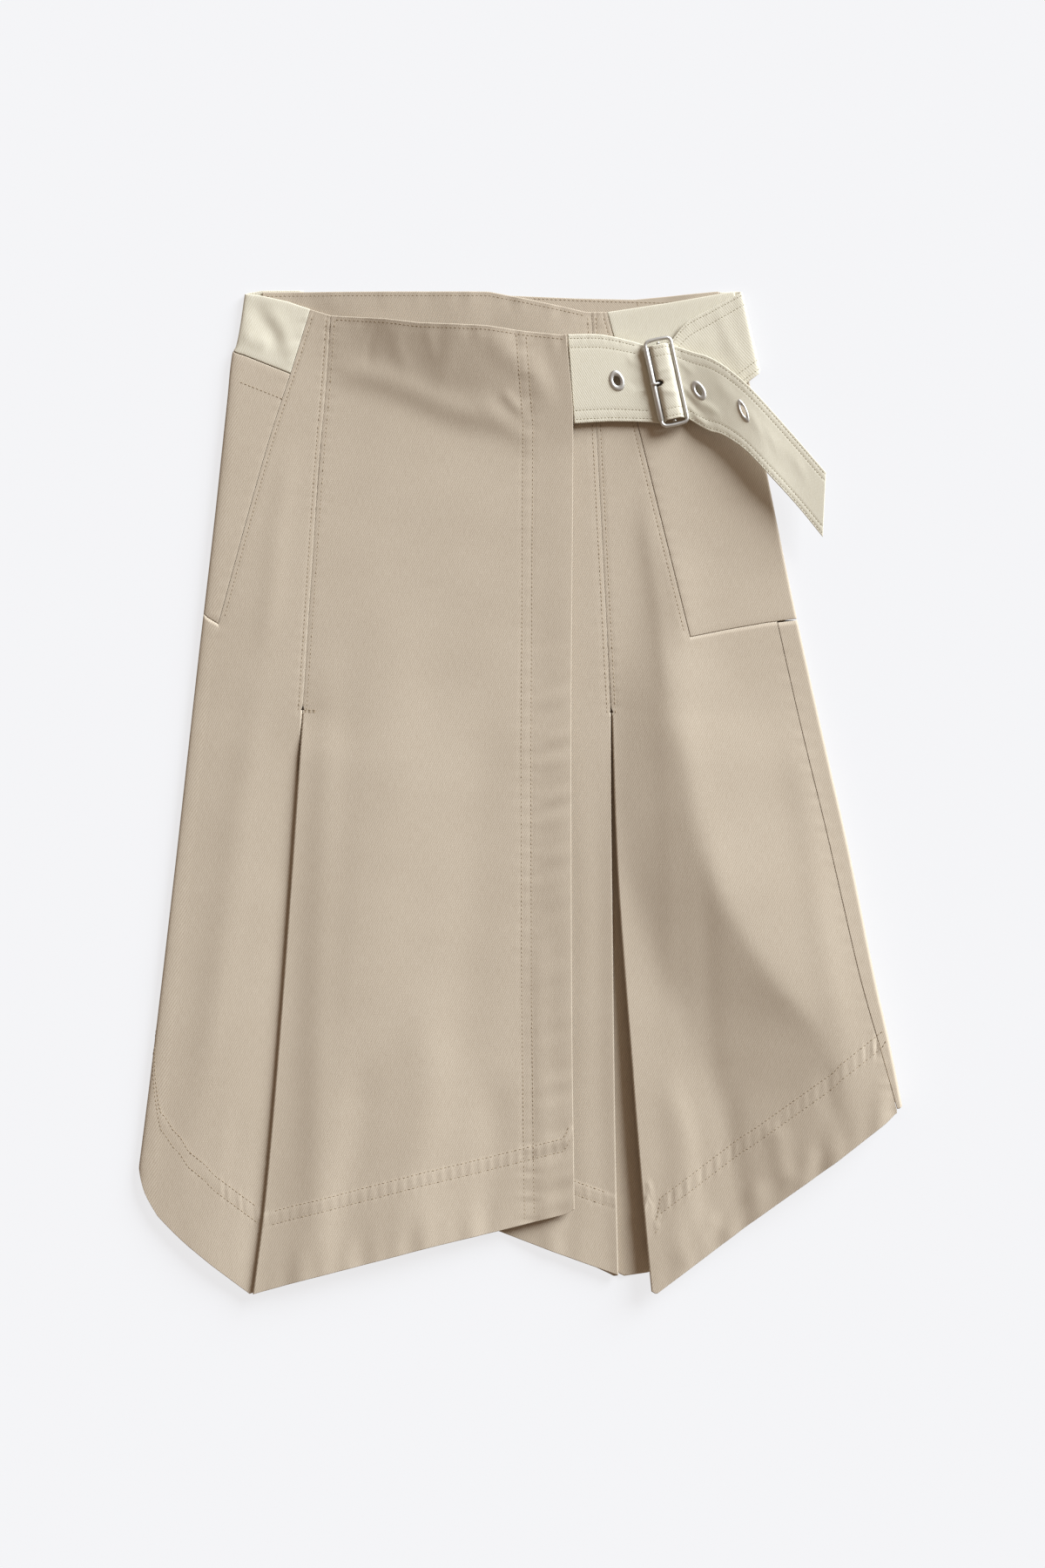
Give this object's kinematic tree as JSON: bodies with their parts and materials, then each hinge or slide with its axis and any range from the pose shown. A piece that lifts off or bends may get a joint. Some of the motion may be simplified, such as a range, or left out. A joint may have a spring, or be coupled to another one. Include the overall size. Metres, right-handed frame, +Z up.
{
  "type": "skirt",
  "caption": "Midi wrap skirt with inverted pleats, a handkerchief hem, hip inserts and a buckled belt, laid flat.",
  "frame": {"origin": "on the surface that the skirt lies on, under the middle of its bounding box", "axes": "+Z up out of the cloth as it lies with its front upwards, +Y from the hem to the waist, +X to the buckle's side"},
  "size_m": [0.5873, 0.774, 0.0243],
  "materials": {
    "gabardine": "matt",
    "cream": "matt",
    "steel": "polished"
  },
  "bodies": {
    "root": {"back": "gabardine", "underlap": "gabardine", "right_underlay": "gabardine", "right_front": "gabardine", "right_pocket": "gabardine", "right_inset": "cream", "left_underlay": "gabardine", "side_front": "gabardine", "centre_front": "gabardine", "left_pocket": "gabardine", "left_inset": "cream", "hip_strap": "cream", "belt": "cream", "eyelet_1": "steel", "eyelet_2": "steel", "eyelet_3": "steel", "buckle_frame": "steel", "buckle_bar": "steel", "buckle_roller": "steel", "buckle_prong": "steel"}
  },
  "joints": []
}
